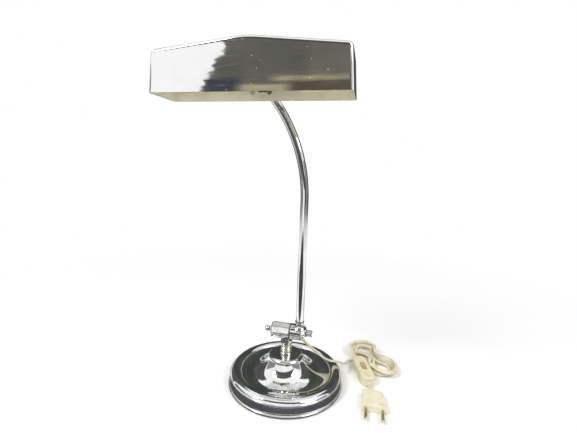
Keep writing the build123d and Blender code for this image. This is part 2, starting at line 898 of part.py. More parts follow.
# Cord pieces: straight runs joined by arcs, each radius printed in cord diameters
hank_x = Vector(hank_heading[0], hank_heading[1], 0).normalized()
hank_y = Vector(-hank_x.Y, hank_x.X, 0)
hank_origin = Vector(hank_centre[0], hank_centre[1], 0)
switch_x = Vector(switch_heading[0], switch_heading[1], 0).normalized()
switch_top = Vector(switch_end[0], switch_end[1], 0)
switch_bottom = switch_top + switch_x * switch_length


def in_hank(s, t, z):
    return hank_origin + hank_x * s + hank_y * t + Vector(0, 0, z)


def cord(name, points):
    points = [Vector(*p) if isinstance(p, tuple) else p for p in points]
    runs = [b - a for a, b in zip(points, points[1:])]
    bends = []
    for before, after in zip(runs, runs[1:]):
        half = radians(before.get_angle(after)) / 2
        bends.append(min(bend_share * min(before.length, after.length) / tan(half), 400.0))
    with BuildPart() as tube:
        with BuildLine() as route:
            if bends:
                FilletPolyline(*points, radius=bends)
            else:
                Line(*points)
        with BuildSketch(Plane(origin=points[0], z_dir=runs[0])):
            Circle(cord_radius)
        sweep(transition=Transition.ROUND)
    length = sum(e.length for e in route.edges())
    filled = tube.part.volume / (pi * cord_radius * cord_radius * length)
    print(name, "length", round(length, 1), "volume share", round(filled, 4))
    print(name, "bends in diameters", [round(b / (2 * cord_radius), 1) for b in bends])
    save(tube.part, name)


# The way out of the knuckle, over the rim of the base and round into the hank
exit_ray = Vector(0, exit_y, exit_z)
exit_point = Vector(arm_offset, 0, pivot_height) + exit_ray * cord_stand
run_end = in_hank(hank_waist_half, hank_draw - hank_outer, hank_low_height)
cord(
    "cord_run",
    [
        exit_point,
        exit_point + exit_ray * exit_run_length,
        *run_points,
        run_end - hank_x * run_end_length,
        run_end,
    ],
)


# Hank: three layers of loops in one tube, drawn in at the waist, wound from the table up
def s_bend(s0, t0, z0, s1, t1, z1):
    start = in_hank(s0, t0, z0)
    end = in_hank(s1, t1, z1)
    middle = (start + end) / 2
    ahead = hank_x if s1 > s0 else hank_x * -1
    first = TangentArc(start, middle, tangent=ahead)
    TangentArc(middle, end, tangent=first % 1)


def hank_pass(ahead, t, z0, z1):
    side = 1 if t > 0 else -1
    drawn = t - side * hank_draw
    half = (z0 + z1) / 2
    s_bend(-ahead * hank_end, t, z0, -ahead * hank_waist_half, drawn, half)
    Line(in_hank(-ahead * hank_waist_half, drawn, half), in_hank(ahead * hank_waist_half, drawn, half))
    s_bend(ahead * hank_waist_half, drawn, half, ahead * hank_end, t, z1)


def half_turn(ahead, t0, t1, z):
    reach = ahead * (hank_end + abs(t1 - t0) / 2)
    ThreePointArc(
        in_hank(ahead * hank_end, t0, z),
        in_hank(reach, (t0 + t1) / 2, z),
        in_hank(ahead * hank_end, t1, z),
    )


link_radius = (hank_outer + hank_exit) / 2


def on_link(angle, height):
    across = (hank_outer - hank_exit) / 2 + link_radius * cos(radians(angle))
    return in_hank(-hank_end - link_radius * sin(radians(angle)), across, height)


start_t = hank_draw - hank_outer
low, mid, high = hank_low_height, hank_mid_height, hank_high_height
outer, inner = hank_outer, hank_inner
with BuildPart() as cord_hank:
    with BuildLine() as hank_route:
        s_bend(hank_waist_half, start_t, low, hank_end, -outer, low)
        half_turn(1, -outer, outer, low)
        hank_pass(-1, outer, low, low)
        half_turn(-1, outer, -inner, low)
        hank_pass(1, -inner, low, low)
        half_turn(1, -inner, inner, low)
        hank_pass(-1, inner, low, mid)
        half_turn(-1, inner, -inner, mid)
        hank_pass(1, -inner, mid, mid)
        half_turn(1, -inner, outer, mid)
        hank_pass(-1, outer, mid, mid)
        half_turn(-1, outer, -outer, mid)
        hank_pass(1, -outer, mid, high)
        half_turn(1, -outer, outer, high)
        hank_pass(-1, outer, high, high)
        ThreePointArc(in_hank(-hank_end, outer, high), on_link(45, high), on_link(90, high))
    with BuildSketch(Plane(origin=in_hank(hank_waist_half, start_t, low), z_dir=hank_x)):
        Circle(cord_radius)
    sweep()
hank_length = sum(e.length for e in hank_route.edges())
hank_wire = hank_route.wires()[0]
steps = int(hank_length / 1.5)
trail = [hank_wire.position_at(i / steps) for i in range(steps + 1)]
skip = int(14.0 / 1.5)
least = min(
    (trail[i] - trail[j]).length
    for i in range(len(trail))
    for j in range(i + skip, len(trail))
)
print("cord_hank length", round(hank_length, 1), "least gap", round(least - 2 * cord_radius, 2))
hank_share = cord_hank.part.volume / (pi * cord_radius**2 * hank_length)
print("cord_hank volume share", round(hank_share, 4))
save(cord_hank.part, "cord_hank")

# From the hank to the in-line switch, and from the switch to the plug
nose_top = switch_top - switch_x * nose_length + Vector(0, 0, nose_height)
nose_bottom = switch_bottom + switch_x * nose_length + Vector(0, 0, nose_height)
cord(
    "cord_link",
    [
        on_link(90, hank_high_height),
        on_link(90, hank_high_height) - hank_y * link_start_length,
        *[on_link(angle, height) for angle, height in link_turn],
        nose_top - switch_x * link_end_length,
        nose_top,
    ],
)
plug_nose = Vector(plug_entry[0], plug_entry[1] + nose_length, nose_height)
tail_run = (plug_nose.X - nose_bottom.X) / switch_x.X
tail_corner = nose_bottom + switch_x * tail_run
cord("cord_tail", [nose_bottom, tail_corner, plug_nose])

# Switch: a base with a cord nose at each end, a cover with a slot, a slider and two screws
switch_middle = (switch_top + switch_bottom) / 2
switch_frame = Plane(origin=switch_middle, x_dir=switch_x, z_dir=(0, 0, 1))
switch_height = switch_base_height + switch_cover_height
screw_places = [(-switch_screw_spacing / 2, 0), (switch_screw_spacing / 2, 0)]
slider_length = slot_length - slider_travel - 2 * slider_side_clearance
slider_x = -slider_travel / 2
cover_floor = switch_base_height + switch_cover_height - switch_wall
plate_bottom = cover_floor - slider_plate_gap - slider_plate_thickness


def end_plane_at(point, direction):
    return Plane(origin=point, x_dir=(0, 0, 1), z_dir=direction)


with BuildPart() as switch_base:
    with BuildSketch(switch_frame):
        RectangleRounded(switch_length, switch_width, switch_corner_radius)
    extrude(amount=switch_base_height)
    chamfer(switch_base.edges().group_by(Axis.Z)[0], 0.8)
    with BuildSketch(switch_frame.offset(switch_floor)):
        RectangleRounded(
            switch_length - 2 * switch_wall,
            switch_width - 2 * switch_wall,
            switch_corner_radius - switch_wall,
        )
        with Locations(*screw_places):
            Circle(switch_post_radius, mode=Mode.SUBTRACT)
    extrude(amount=switch_base_height - switch_floor, mode=Mode.SUBTRACT)
    for tip, way in ((nose_top, switch_x), (nose_bottom, switch_x * -1)):
        with BuildSketch(end_plane_at(tip, way)):
            Circle(nose_radius)
        extrude(amount=nose_length + 0.8)
    with BuildSketch(switch_frame.offset(switch_floor)):
        with Locations(*screw_places):
            Circle(switch_screw_radius + thread_clearance)
    extrude(amount=switch_base_height - switch_floor, mode=Mode.SUBTRACT)
save(switch_base.part, "switch_base")

with BuildPart() as switch_cover:
    with BuildSketch(switch_frame.offset(switch_base_height)):
        RectangleRounded(switch_length, switch_width, switch_corner_radius)
    extrude(amount=switch_cover_height)
    fillet(switch_cover.edges().group_by(Axis.Z)[-1], switch_edge_radius)
    with BuildSketch(switch_frame.offset(switch_base_height)):
        RectangleRounded(
            switch_length - 2 * switch_wall,
            switch_width - 2 * switch_wall,
            switch_corner_radius - switch_wall,
        )
        with Locations(*screw_places):
            Circle(switch_post_radius, mode=Mode.SUBTRACT)
    extrude(amount=switch_cover_height - switch_wall, mode=Mode.SUBTRACT)
    with BuildSketch(switch_frame.offset(switch_base_height)):
        RectangleRounded(slot_length, slot_width, 1.0)
    extrude(amount=switch_cover_height, mode=Mode.SUBTRACT)
    with BuildSketch(switch_frame.offset(switch_base_height)):
        with Locations(*screw_places):
            Circle(switch_screw_radius + drill_clearance)
    extrude(amount=switch_cover_height, mode=Mode.SUBTRACT)
    with BuildSketch(switch_frame.offset(switch_height - switch_screw_head_height)):
        with Locations(*screw_places):
            Circle(switch_screw_head_radius + drill_clearance)
    extrude(amount=switch_screw_head_height, mode=Mode.SUBTRACT)
save(switch_cover.part, "switch_cover")

with BuildPart() as switch_slider:
    with BuildSketch(switch_frame.offset(plate_bottom)):
        with Locations((slider_x, 0)):
            Rectangle(slider_plate_length, slider_plate_width)
    extrude(amount=slider_plate_thickness)
    with BuildSketch(switch_frame.offset(plate_bottom)):
        with Locations((slider_x, 0)):
            Rectangle(slider_length, slot_width - 2 * slider_side_clearance)
    extrude(amount=switch_height + slider_stand - plate_bottom)
    for groove in (-1, 0, 1):
        with BuildSketch(switch_frame.offset(switch_height + slider_stand - 0.6)):
            with Locations((slider_x + groove * slider_length * 0.28, 0)):
                Rectangle(1.0, slot_width)
        extrude(amount=0.6, mode=Mode.SUBTRACT)
save(switch_slider.part, "switch_slider")

with BuildPart() as switch_screws:
    with BuildSketch(switch_frame.offset(switch_floor + 1.0)):
        with Locations(*screw_places):
            Circle(switch_screw_radius)
    extrude(amount=switch_height - switch_screw_head_height - switch_floor - 1.0)
    with BuildSketch(switch_frame.offset(switch_height - switch_screw_head_height)):
        with Locations(*screw_places):
            Circle(switch_screw_head_radius)
    extrude(amount=switch_screw_head_height - 0.2)
    with BuildSketch(switch_frame.offset(switch_height - 0.8)):
        with Locations(*screw_places):
            Rectangle(2 * switch_screw_head_radius, 0.8, rotation=35)
    extrude(amount=0.8, mode=Mode.SUBTRACT)
save(switch_screws.part, "switch_screws")

# Plug: a flat moulded body, wider at the pins, with a nose for the cord and two round pins
plug_y = plug_entry[1]
pin_face = plug_y - plug_length
pin_x = plug_entry[0] + plug_skew
pin_places = [pin_x - plug_pin_spacing / 2, pin_x + plug_pin_spacing / 2]
with BuildPart() as plug_body:
    with BuildSketch() as plug_outline:
        with BuildLine():
            Polyline(
                (plug_entry[0] - plug_back_width / 2, plug_y),
                (plug_entry[0] + plug_back_width / 2, plug_y),
                (pin_x + plug_front_width / 2, pin_face),
                (pin_x - plug_front_width / 2, pin_face),
                close=True,
            )
        make_face()
        fillet(plug_outline.vertices().group_by(Axis.Y)[-1], plug_corner_radius)
    extrude(amount=plug_thickness)
    fillet(plug_body.edges().group_by(Axis.Z)[-1], plug_edge_radius)
    fillet(plug_body.edges().group_by(Axis.Z)[0], plug_edge_radius)
    with BuildSketch(end_plane_at(plug_nose, (0, -1, 0))):
        Circle(nose_radius)
    extrude(amount=nose_length + 1.0)
    for x in pin_places:
        with BuildSketch(end_plane_at((x, pin_face, plug_thickness / 2), (0, 1, 0))):
            Circle(plug_pin_root_radius + thread_clearance)
        extrude(amount=plug_pin_root, mode=Mode.SUBTRACT)
save(plug_body.part, "plug_body")

with BuildPart() as plug_pins:
    for x in pin_places:
        with BuildSketch(end_plane_at((x, pin_face + plug_pin_root, plug_thickness / 2), (0, -1, 0))):
            Circle(plug_pin_root_radius)
        extrude(amount=plug_pin_root)
        with BuildSketch(end_plane_at((x, pin_face, plug_thickness / 2), (0, -1, 0))):
            Circle(plug_pin_radius)
        extrude(amount=plug_pin_length)
    fillet(plug_pins.edges().group_by(Axis.Y)[0], plug_pin_round)
save(plug_pins.part, "plug_pins")
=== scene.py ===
import math
import bpy
from mathutils import Matrix, Vector


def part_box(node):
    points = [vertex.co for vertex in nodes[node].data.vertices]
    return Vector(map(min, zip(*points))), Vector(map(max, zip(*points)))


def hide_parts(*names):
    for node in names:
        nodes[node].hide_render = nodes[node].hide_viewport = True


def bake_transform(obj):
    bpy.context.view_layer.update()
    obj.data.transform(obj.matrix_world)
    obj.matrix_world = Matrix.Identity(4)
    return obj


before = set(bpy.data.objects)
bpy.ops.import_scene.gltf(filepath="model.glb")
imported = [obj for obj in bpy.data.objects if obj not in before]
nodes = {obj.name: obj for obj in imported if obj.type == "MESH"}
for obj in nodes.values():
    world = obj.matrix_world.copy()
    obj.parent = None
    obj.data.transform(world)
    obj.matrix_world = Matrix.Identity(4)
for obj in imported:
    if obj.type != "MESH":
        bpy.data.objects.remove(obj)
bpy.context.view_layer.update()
mm = 0.001
print("frame loaded:", len(nodes), "nodes")

# camera at the photo's viewing point, image taken as 577 x 433
photoCamera = {
    "place": (0.0918, -0.4231, 0.2854),
    "lens": 21.80,
    "sensor": 36.0,
    "nearest": 0.01,
    "turn": 12.62,  # degrees to the left of +Y
    "pitch": 8.33,  # degrees below the horizon
    "roll": 1.9,
}


def addCamera(view):
    turn, pitch, roll = (math.radians(view[k]) for k in ("turn", "pitch", "roll"))
    forward = Vector((-math.sin(turn), math.cos(turn), 0))
    ahead = forward * math.cos(pitch) - Vector((0, 0, math.sin(pitch)))
    level = Vector((math.cos(turn), math.sin(turn), 0))
    upright = level.cross(ahead)
    right = level * math.cos(roll) + upright * math.sin(roll)
    top = right.cross(ahead)
    data = bpy.data.cameras.new("photoCamera")
    data.lens = view["lens"]
    data.sensor_width = view["sensor"]
    data.clip_start = view["nearest"]
    camera = bpy.data.objects.new("photoCamera", data)
    bpy.context.scene.collection.objects.link(camera)
    camera.matrix_world = Matrix((right, top, -ahead)).transposed().to_4x4()
    camera.location = view["place"]
    bpy.context.scene.camera = camera


addCamera(photoCamera)
bpy.context.scene.view_settings.view_transform = "Standard"
print("camera set")

# the cord: from the knuckle over the rim into the hank, through the switch and to the plug, in mm
cordRoute = {
    "run": [
        (16.7, 5.7, 64.7),
        (16.7, 17.0, 53.4),
        (30.0, 22.0, 40.0),
        (52.0, 18.0, 26.6),
        (67.3, 23.5, 24.0),
        (77.3, 39.0, 13.6),
        (78.7, 54.5, 8.6),
        (81.2, 67.0, 3.4),
        (86.0, 75.5, 2.4),
        (92.0, 81.5, 2.4),
    ],
    "width": 4.4,
    "lobe": 1.25,  # half thickness of one core's sheath
    "lobeArc": range(-125, 126, 25),  # degrees round one core
    "ringStep": 1.5,
    "lean": 1.1,  # radians the flat side is turned up where the run leaves the bush
    "leanRings": 70,
    "sway": 0.5,  # radians the flat side tips to and fro further on
    "swayPace": 0.043,
    "swayRings": 90,
}
# each turn of the hank: end, from lane, to lane, height, slack, sag of its end,
# height after the next pass
hank = {
    "centre": (114.0, 80.0),
    "heading": (0.56, -0.829),
    "pressed": 0.96,  # the loose ends pushed in
    "waist": {17.8: (7.6, 0.0), 12.1: (2.5, 2.1)},  # lane: half width drawn in, shift of its bends
    "wideAt": 18.4,
    "closeAt": 7.0,
    "end": 23.0,
    "turnAngles": (18, 54, 90, 126, 162),
    "lead": (-8.0, -7.6, 2.4),
    "turns": [
        (1, -17.8, 17.8, 2.4, 0.0, 0.0, 2.4),
        (-1, 17.8, -12.1, 2.4, 2.5, 0.0, 2.4),
        (1, -12.1, 12.1, 2.4, 2.0, 0.0, 7.2),
        (-1, 12.1, -12.1, 7.2, -1.0, 1.0, 7.2),
        (1, -12.1, 17.8, 7.2, 4.5, -1.0, 7.2),
        (-1, 17.8, -17.8, 7.2, 3.0, -1.5, 12.0),
        (1, -17.8, 17.8, 12.0, 7.5, -3.5, 12.0),
    ],
    "exit": 22.5,
    "exitTurn": [(18, 12.0), (54, 12.0), (90, 12.0), (122, 11.8), (146, 11.2), (170, 10.0)],
}
switchLine = {
    "end": (93.5, 67.6),
    "heading": (0.30, -0.954),
    "length": 56.0,
    "height": 4.4,
    "leadIn": (-9.4, -3.0, 8.0),  # along the switch from its first end
    "leadOut": (-8.0, 8.2),  # and from its other end
}
plugEntry = (113.6, -3.5, 4.4)


def unitOf(x, y):
    return Vector((x, y, 0)).normalized()


def hankPoint(s, t, z):
    along = unitOf(*hank["heading"])
    across = Vector((-along.y, along.x, 0))
    return Vector((*hank["centre"], z)) + along * s * hank["pressed"] + across * t


def hankPass(ahead, t, z0, z1):  # one run from end to end, drawn in at the waist
    drawn, shift = hank["waist"][abs(t)]
    drawn = math.copysign(drawn, t)
    wide, close = hank["wideAt"] + shift, hank["closeAt"] + shift
    stations = [(-wide, t), (-close, drawn), (0.0, drawn), (close, drawn), (wide, t)]
    end = hank["end"]
    return [hankPoint(ahead * s, w, z0 + (z1 - z0) * (s + end) / (2 * end)) for s, w in stations]


def hankTurn(ahead, t0, t1, z, slack, sag):  # half a turn round one end
    radius, middle = abs(t1 - t0) / 2, (t0 + t1) / 2
    start = math.copysign(1, t0 - t1)
    corner = radius / math.cos(math.radians(hank["turnAngles"][0]))
    points = []
    for degrees in hank["turnAngles"]:
        a = math.radians(degrees)
        s = hank["end"] + (corner + slack) * math.sin(a)
        t = middle + start * corner * math.cos(a)
        points.append(hankPoint(ahead * s, t, z + sag * math.sin(a)))
    return points


def cordPoints():
    points = [Vector(p) for p in cordRoute["run"]]
    outer = hank["turns"][0][2]
    s, waist, low = hank["lead"]
    points += [hankPoint(s, waist, low), hankPoint(hank["closeAt"], waist, low)]
    points.append(hankPoint(hank["wideAt"], -outer, low))
    for ahead, t0, t1, z, slack, sag, after in hank["turns"]:
        points += hankTurn(ahead, t0, t1, z, slack, sag) + hankPass(-ahead, t1, z, after)
    radius, middle = (outer + hank["exit"]) / 2, (outer - hank["exit"]) / 2
    for degrees, z in hank["exitTurn"]:
        a = math.radians(degrees)
        s = -hank["end"] - radius * math.sin(a)
        points.append(hankPoint(s, middle + radius * math.cos(a), z))
    along = unitOf(*switchLine["heading"])
    top = Vector((*switchLine["end"], switchLine["height"]))
    bottom = top + along * switchLine["length"]
    points += [top + along * reach for reach in switchLine["leadIn"]]
    points += [bottom + along * reach for reach in switchLine["leadOut"]]
    points.append(Vector(plugEntry))
    return [p * mm for p in points]


def splineLine(points):
    curve = bpy.data.curves.new("cordLine", "CURVE")
    curve.dimensions = "3D"
    curve.resolution_u = 8
    spline = curve.splines.new("NURBS")
    spline.points.add(len(points) - 1)
    for place, point in zip(spline.points, points):
        place.co = (*point, 1)
    spline.order_u = 3
    spline.use_endpoint_u = True
    holder = bpy.data.objects.new("cordLine", curve)
    bpy.context.scene.collection.objects.link(holder)
    bpy.context.view_layer.update()
    mesh = bpy.data.meshes.new_from_object(holder)
    line = [v.co.copy() for v in mesh.vertices]
    bpy.data.objects.remove(holder)
    bpy.data.curves.remove(curve)
    bpy.data.meshes.remove(mesh)
    return line


def evenly(line, step):
    spaced, left = [line[0]], step
    for a, b in zip(line, line[1:]):
        length = (b - a).length
        while length > 0 and left <= length:
            a = a.lerp(b, left / length)
            spaced.append(a.copy())
            length = (b - a).length
            left = step
        left -= length
    return spaced


def twinSection(width, lobe):  # two round cores side by side
    offset = width / 2 - lobe
    ring = []
    for side in (1, -1):
        for degrees in cordRoute["lobeArc"]:
            a = math.radians(degrees)
            ring.append((side * (offset + lobe * math.cos(a)), side * lobe * math.sin(a)))
    return ring


def addCord():
    line = evenly(splineLine(cordPoints()), cordRoute["ringStep"] * mm)
    section = twinSection(cordRoute["width"] * mm, cordRoute["lobe"] * mm)
    verts, faces, count = [], [], len(section)
    for i, place in enumerate(line):
        way = (line[min(i + 1, len(line) - 1)] - line[max(i - 1, 0)]).normalized()
        side = way.cross(Vector((0, 0, 1))).normalized()
        top = side.cross(way)
        lean = cordRoute["lean"] * max(0, 1 - i / cordRoute["leanRings"])
        sway = cordRoute["sway"] * math.sin(i * cordRoute["swayPace"])
        lean += sway * min(1, i / cordRoute["swayRings"])
        wide = side * math.cos(lean) + top * math.sin(lean)
        high = wide.cross(way)
        verts += [place + wide * x + high * y for x, y in section]
    for i in range(len(line) - 1):
        for k in range(count):
            n = (k + 1) % count
            faces.append((i * count + k, i * count + n, (i + 1) * count + n, (i + 1) * count + k))
    faces.append(tuple(reversed(range(count))))
    faces.append(tuple((len(line) - 1) * count + k for k in range(count)))
    mesh = bpy.data.meshes.new("cord")
    mesh.from_pydata(verts, [], faces)
    uv = mesh.uv_layers.new(name="along")
    for loop in mesh.loops:
        ring, k = divmod(loop.vertex_index, count)
        uv.data[loop.index].uv = (ring * cordRoute["ringStep"] / 10, k / count)
    for face in mesh.polygons:
        face.use_smooth = True
    cord = bpy.data.objects.new("cord", mesh)
    bpy.context.scene.collection.objects.link(cord)
    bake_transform(cord)
    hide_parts("cord_run", "cord_hank", "cord_link", "cord_tail")
    return cord


cord = addCord()


# finishes: small node helpers first
def startMaterial(name):
    material = bpy.data.materials.new(name)
    material.use_nodes = True
    tree = material.node_tree
    coords = tree.nodes.new("ShaderNodeTexCoord")
    return material, tree, tree.nodes["Principled BSDF"], coords.outputs["Object"]


def stretched(tree, place, scale):
    mapping = tree.nodes.new("ShaderNodeMapping")
    mapping.inputs["Scale"].default_value = scale
    tree.links.new(place, mapping.inputs["Vector"])
    return mapping.outputs["Vector"]


def noiseOf(tree, place, scale, detail=3.0, rough=0.55):
    noise = tree.nodes.new("ShaderNodeTexNoise")
    noise.inputs["Scale"].default_value = scale
    noise.inputs["Detail"].default_value = detail
    noise.inputs["Roughness"].default_value = rough
    tree.links.new(place, noise.inputs["Vector"])
    return noise.outputs["Fac"]


def ramped(tree, value, stops):  # stops are (position, colour)
    ramp = tree.nodes.new("ShaderNodeValToRGB")
    marks = ramp.color_ramp.elements
    while len(marks) < len(stops):
        marks.new(0.5)
    for mark, (position, color) in zip(marks, stops):
        mark.position = position
        mark.color = color if len(color) == 4 else (*color, 1)
    tree.links.new(value, ramp.inputs["Fac"])
    return ramp.outputs["Color"]


def spread(tree, value, low, high, fromLow=0.3, fromHigh=0.7):
    remap = tree.nodes.new("ShaderNodeMapRange")
    remap.inputs["From Min"].default_value = fromLow
    remap.inputs["From Max"].default_value = fromHigh
    remap.inputs["To Min"].default_value = low
    remap.inputs["To Max"].default_value = high
    tree.links.new(value, remap.inputs["Value"])
    return remap.outputs["Result"]


def combined(tree, operation, first, second):
    reckon = tree.nodes.new("ShaderNodeMath")
    reckon.operation = operation
    tree.links.new(first, reckon.inputs[0])
    if isinstance(second, (int, float)):
        reckon.inputs[1].default_value = second
    else:
        tree.links.new(second, reckon.inputs[1])
    return reckon.outputs["Value"]


def layered(tree, amount, under, over):  # over shows where amount is 1
    mix = tree.nodes.new("ShaderNodeMix")
    mix.data_type = "RGBA"
    tree.links.new(amount, mix.inputs["Factor"])
    for socket, color in ((mix.inputs[6], under), (mix.inputs[7], over)):
        if isinstance(color, tuple):
            socket.default_value = (*color, 1)
        else:
            tree.links.new(color, socket)
    return mix.outputs[2]


def bumped(tree, shader, height):  # height in metres
    bump = tree.nodes.new("ShaderNodeBump")
    bump.inputs["Strength"].default_value = 1.0
    bump.inputs["Distance"].default_value = 1.0
    tree.links.new(height, bump.inputs["Height"])
    tree.links.new(bump.outputs["Normal"], shader.inputs["Normal"])
    return bump


edgeSamples = 8


# the normal, turned towards the next face near an edge, and 1 where nothing turns it
def softEdge(tree, radius):
    soft = tree.nodes.new("ShaderNodeBevel")
    soft.samples = edgeSamples
    soft.inputs["Radius"].default_value = radius
    face = tree.nodes.new("ShaderNodeNewGeometry")
    flat = tree.nodes.new("ShaderNodeVectorMath")
    flat.operation = "DOT_PRODUCT"
    tree.links.new(soft.outputs["Normal"], flat.inputs[0])
    tree.links.new(face.outputs["Normal"], flat.inputs[1])
    return soft.outputs["Normal"], flat.outputs["Value"]


# bare and plated metals: grain is noise cells per metre along X, Y and Z, depths are in metres
metals = {
    "shadeChrome": {
        "nodes": ["shade_shell"],
        "light": (0.93, 0.93, 0.92),
        "dark": (0.89, 0.895, 0.90),
        "rough": (0.02, 0.13),
        "grain": (45, 1400, 1400),
        "grainDepth": 4e-7,
        "cloud": 26,
        "swell": 11,
        "swellDepth": 2.2e-4,
        "pits": 170,
        "pitSize": 0.11,
        "pitColor": (0.72, 0.68, 0.58),
    },
    "baseChrome": {
        "nodes": ["base_shell"],
        "light": (0.92, 0.92, 0.92),
        "dark": (0.80, 0.81, 0.82),
        "rough": (0.04, 0.16),
        "grain": (260, 260, 260),
        "grainDepth": 3e-7,
        "cloud": 34,
        "swell": 22,
        "swellDepth": 6e-5,
        "pits": 330,
        "pitSize": 0.15,
        "pitColor": (0.36, 0.29, 0.22),
        "edge": 1.3e-3,
        # a painted pale highlight line along the base's edges and rings
        "edgeLineColor": (0.80, 0.80, 0.75),
        "edgeLineMatte": 0.8,  # share of the painted highlight line made non-metal, so its pale colour shows
    },
    "armChrome": {
        "nodes": ["arm_tube", "arm_eye"],
        "light": (0.90, 0.90, 0.90),
        "dark": (0.78, 0.79, 0.80),
        "rough": (0.05, 0.2),
        "grain": (900, 900, 30),
        "grainDepth": 5e-7,
        "cloud": 40,
        "swell": 30,
        "swellDepth": 3e-5,
        "pits": 420,
        "pitSize": 0.16,
        "pitColor": (0.36, 0.30, 0.24),
    },
    "castChrome": {
        "nodes": [
            "lower_knuckle",
            "upper_knuckle",
            "cone_washer",
            "ball_finial",
            "pivot_nut",
            "stem_flange",
            "hinge_bracket",
        ],
        "light": (0.91, 0.91, 0.89),
        "dark": (0.74, 0.74, 0.72),
        "rough": (0.05, 0.24),
        "grain": (420, 420, 420),
        "grainDepth": 1.2e-6,
        "cloud": 90,
        "swell": 120,
        "swellDepth": 1.2e-5,
        "pits": 600,
        "pitSize": 0.18,
        "pitColor": (0.40, 0.33, 0.22),
        "edge": 1.6e-3,
        # a painted dark line along the cast edges, standing for the dark reflections of rounded
        # edges
        "edgeLineColor": (0.09, 0.09, 0.08),
        "edgeLineMatte": 0.0,
    },
    "yellowedPlate": {
        "nodes": ["stem_ring", "stem_neck", "hinge_screw"],
        "light": (0.80, 0.77, 0.64),
        "dark": (0.52, 0.48, 0.35),
        "rough": (0.2, 0.42),
        "grain": (120, 120, 1600),
        "grainDepth": 1.5e-6,
        "cloud": 140,
        "swell": 150,
        "swellDepth": 8e-6,
        "pits": 700,
        "pitSize": 0.2,
        "pitColor": (0.25, 0.19, 0.12),
    },
    "zincSteel": {
        "nodes": [
            "base_stud",
            "base_washer",
            "base_nut",
            "pivot_bolt",
            "hinge_washer",
            "bracket_rivets",
            "holder_nipple",
        ],
        "light": (0.62, 0.63, 0.62),
        "dark": (0.42, 0.42, 0.40),
        "rough": (0.28, 0.5),
        "grain": (300, 300, 300),
        "grainDepth": 3e-6,
        "cloud": 160,
        "swell": 200,
        "swellDepth": 1e-5,
        "pits": 500,
        "pitSize": 0.22,
        "pitColor": (0.24, 0.16, 0.10),
    },
    "castIron": {
        "nodes": ["base_weight"],
        "light": (0.17, 0.165, 0.16),
        "dark": (0.08, 0.075, 0.07),
        "rough": (0.55, 0.8),
        "grain": (500, 500, 500),
        "grainDepth": 8e-5,
        "cloud": 70,
        "swell": 180,
        "swellDepth": 1.5e-4,
        "pits": 300,
        "pitSize": 0.3,
        "pitColor": (0.16, 0.08, 0.04),
    },
    "capBrass": {
        "nodes": ["bulb_cap"],
        "light": (0.78, 0.60, 0.30),
        "dark": (0.55, 0.40, 0.19),
        "rough": (0.2, 0.42),
        "grain": (1200, 200, 200),
        "grainDepth": 2e-6,
        "cloud": 120,
        "swell": 200,
        "swellDepth": 1e-5,
        "pits": 500,
        "pitSize": 0.2,
        "pitColor": (0.22, 0.13, 0.07),
    },
    "pinBrass": {
        "nodes": ["plug_pins"],
        "light": (0.82, 0.74, 0.50),
        "dark": (0.66, 0.58, 0.36),
        "rough": (0.42, 0.62),
        "grain": (1500, 60, 1500),
        "grainDepth": 2e-6,
        "cloud": 180,
        "swell": 220,
        "swellDepth": 1e-5,
        "pits": 800,
        "pitSize": 0.2,
        "pitColor": (0.20, 0.15, 0.10),
    },
}
# where the noise starts and stops acting on every metal, and where the painted edge line is full
# and gone
metalWearAndEdgeLine = {
    "tones": (0.36, 0.6),
    "pitPatches": (0.5, 0.6),
    "pitCore": 0.4,
    "scratches": (0.42, 0.75),
    "leastScratched": 0.25,
    "edgeFlat": (0.95, 0.997),
}


def voronoiOf(tree, place, scale):
    cells = tree.nodes.new("ShaderNodeTexVoronoi")
    cells.inputs["Scale"].default_value = scale
    tree.links.new(place, cells.inputs["Vector"])
    return cells.outputs["Distance"]


def metalFinish(name, look):
    material, tree, shader, place = startMaterial(name)
    fine = noiseOf(tree, stretched(tree, place, look["grain"]), 1.0)
    cloud = noiseOf(tree, place, look["cloud"], 4.0, 0.6)
    swell = noiseOf(tree, place, look["swell"], 1.0)
    cells = voronoiOf(tree, place, look["pits"])
    core = look["pitSize"] * metalWearAndEdgeLine["pitCore"]
    near = spread(tree, cells, 1, 0, core, look["pitSize"])
    pits = combined(tree, "MULTIPLY", near, spread(tree, cloud, 0, 1, *metalWearAndEdgeLine["pitPatches"]))
    tone = ramped(tree, cloud, list(zip(metalWearAndEdgeLine["tones"], (look["dark"], look["light"]))))
    dustAndPaintedEdge = pits
    # painted light along edges: a pale, partly non-metal highlight line on the base and a dark
    # line on the castings, standing for reflections of rounded edges
    if "edge" in look:
        softNormal, flat = softEdge(tree, look["edge"])
        paintedEdgeLine = spread(tree, flat, 1, 0, *metalWearAndEdgeLine["edgeFlat"])
        tone = layered(tree, paintedEdgeLine, tone, look["edgeLineColor"])
        paintedEdgeMatte = combined(tree, "MULTIPLY", paintedEdgeLine, look["edgeLineMatte"])
        dustAndPaintedEdge = combined(tree, "MAXIMUM", pits, paintedEdgeMatte)
    tree.links.new(layered(tree, pits, tone, look["pitColor"]), shader.inputs["Base Color"])
    scratches = spread(tree, fine, 0, 1, *metalWearAndEdgeLine["scratches"])
    patchy = spread(tree, cloud, metalWearAndEdgeLine["leastScratched"], 1)
    worn = combined(tree, "MULTIPLY", scratches, patchy)
    dull = combined(tree, "MAXIMUM", worn, pits)
    tree.links.new(spread(tree, dull, *look["rough"], 0, 1), shader.inputs["Roughness"])
    grain = combined(tree, "MULTIPLY", fine, look["grainDepth"])
    height = combined(tree, "ADD", grain, combined(tree, "MULTIPLY", swell, look["swellDepth"]))
    bump = bumped(tree, shader, height)
    if "edge" in look:
        tree.links.new(softNormal, bump.inputs["Normal"])
    tree.links.new(spread(tree, dustAndPaintedEdge, 1, 0, 0, 1), shader.inputs["Metallic"])
    for node in look["nodes"]:
        dress(node, material)
    return material


